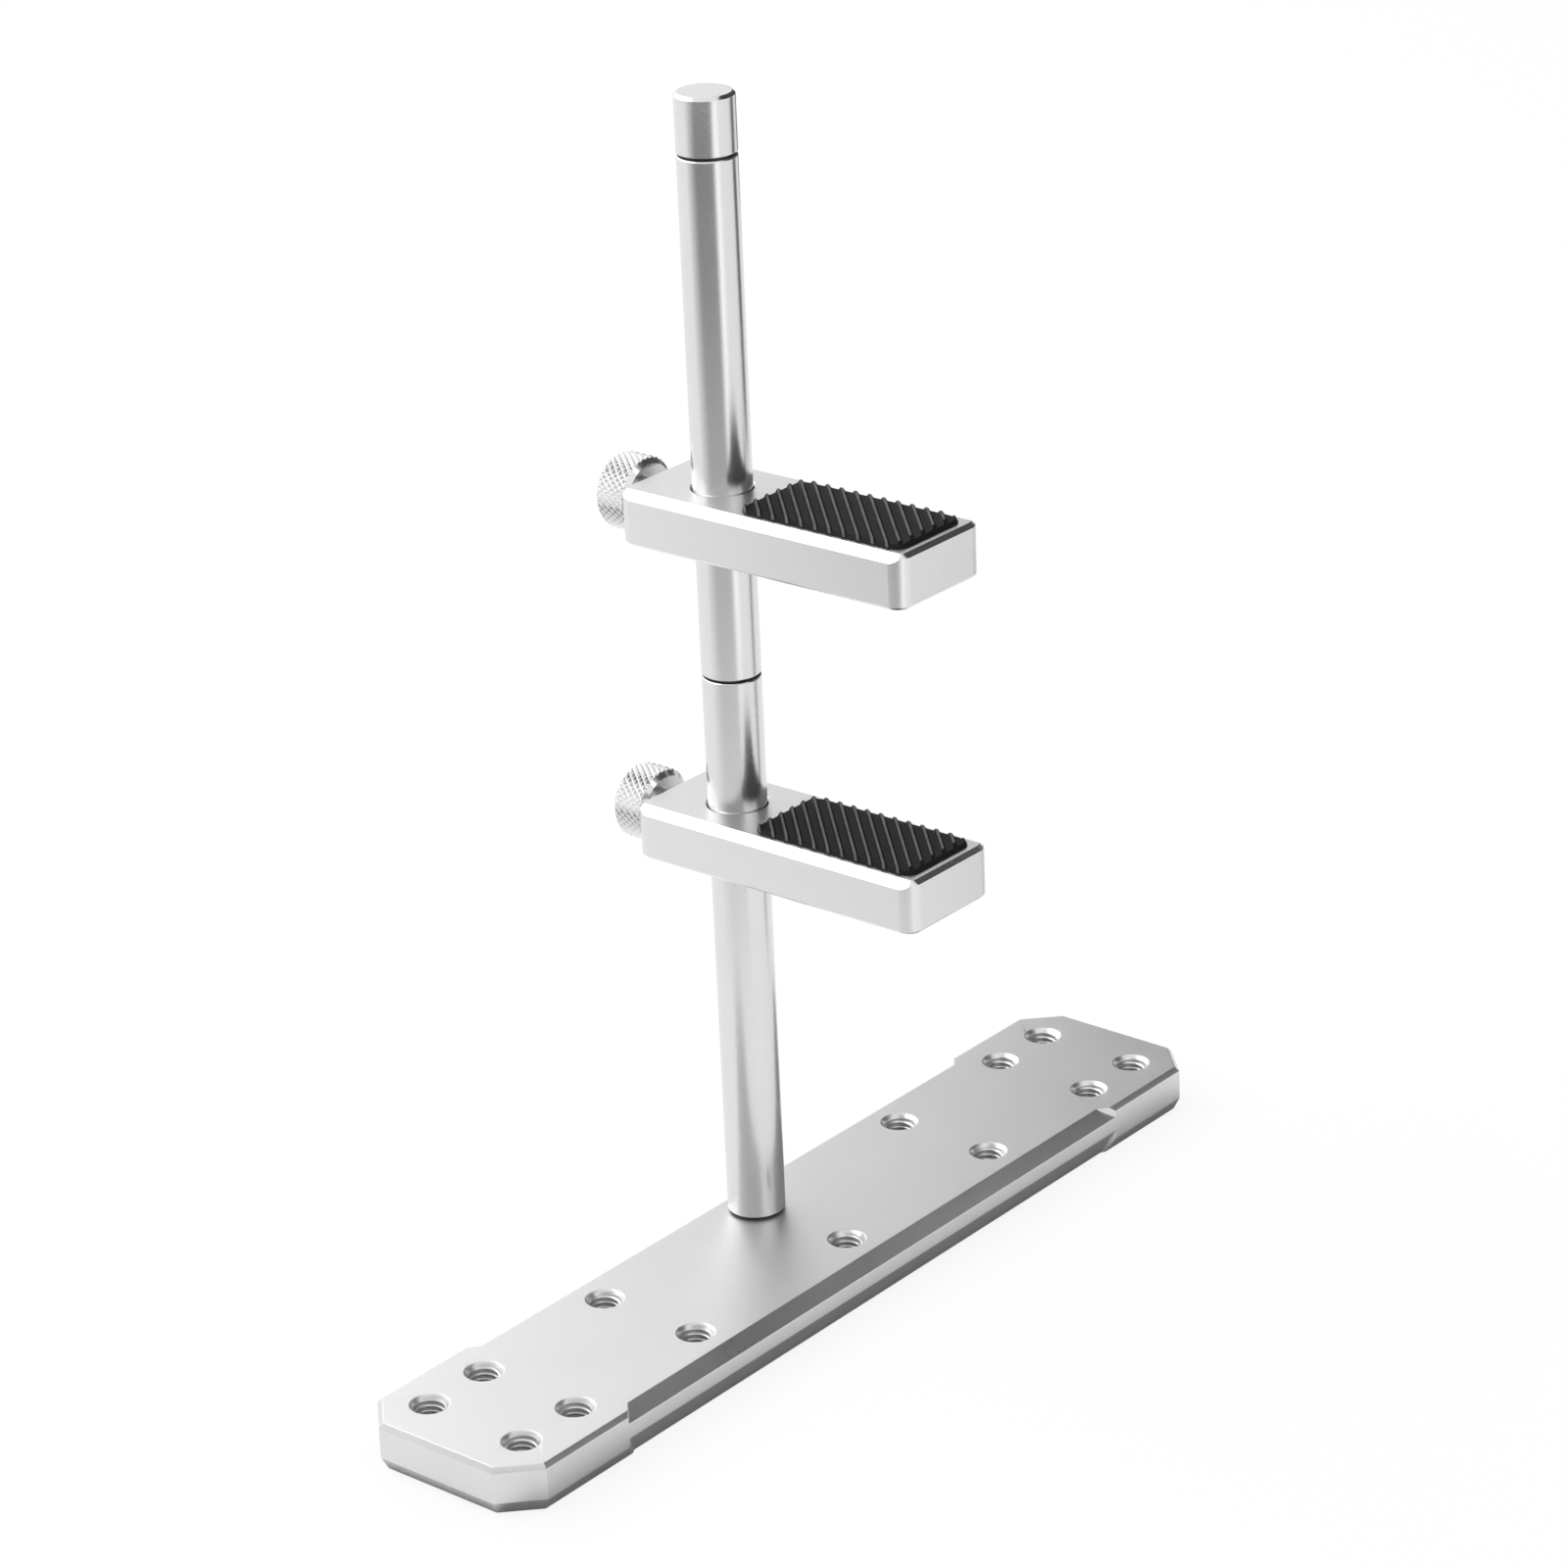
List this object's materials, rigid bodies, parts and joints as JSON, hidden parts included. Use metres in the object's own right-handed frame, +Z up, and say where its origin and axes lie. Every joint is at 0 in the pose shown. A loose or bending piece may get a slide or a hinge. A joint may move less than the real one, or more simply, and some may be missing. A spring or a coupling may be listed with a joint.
{
  "type": "graphics card support bracket",
  "caption": "Free-standing support for a graphics card: flat fan-hole base plate, two-section round post, and padded arms that slide and turn on it under knurled thumb screws.",
  "frame": {"origin": "centre of the base plate's underside", "axes": "+Z up along the post, X along the base plate, the arms point to -Y across the plate"},
  "size_m": [0.1388, 0.051, 0.1554],
  "materials": {
    "blasted_aluminium": "bead-blasted, clear anodised",
    "rod_aluminium": "satin turned, clear anodised",
    "bright_steel": "bright, knurled",
    "set_screw_steel": "plain",
    "pad_rubber": "matte, fine texture"
  },
  "bodies": {
    "base": {"base_plate": "blasted_aluminium", "base_stud": "set_screw_steel"},
    "lower_post": {"lower_rod": "rod_aluminium", "joint_stud": "set_screw_steel"},
    "upper_post": {"upper_rod": "rod_aluminium", "cap_stud": "set_screw_steel", "post_cap": "rod_aluminium"},
    "lower_arm_body": {"lower_arm": "blasted_aluminium", "lower_pad": "pad_rubber"},
    "upper_arm_body": {"upper_arm": "blasted_aluminium", "upper_pad": "pad_rubber"},
    "lower_knob": {"lower_thumb_screw": "bright_steel"},
    "upper_knob": {"upper_thumb_screw": "bright_steel"}
  },
  "joints": [
    {"name": "lower_swivel", "type": "hinge", "parent": "base", "child": "lower_post", "pos_m": [0, 0.0075, 0.0064], "axis": [0, 0, 1], "continuous": true},
    {"name": "upper_swivel", "type": "hinge", "parent": "lower_post", "child": "upper_post", "pos_m": [0, 0.0075, 0.0811], "axis": [0, 0, 1], "continuous": true},
    {"name": "lower_arm_slide", "type": "slide", "parent": "lower_post", "child": "lower_arm_body", "axis": [0, 0, 1], "range_m": [-0.0485, 0.0158]},
    {"name": "upper_arm_slide", "type": "slide", "parent": "upper_post", "child": "upper_arm_body", "axis": [0, 0, 1], "range_m": [-0.016, 0.042]},
    {"name": "lower_screw_turn", "type": "hinge", "parent": "lower_arm_body", "child": "lower_knob", "pos_m": [0, 0.0179, 0.0602], "axis": [0, 1, 0], "range_deg": [0, 720]},
    {"name": "upper_screw_turn", "type": "hinge", "parent": "upper_arm_body", "child": "upper_knob", "pos_m": [0, 0.0179, 0.1022], "axis": [0, 1, 0], "range_deg": [0, 720]}
  ]
}
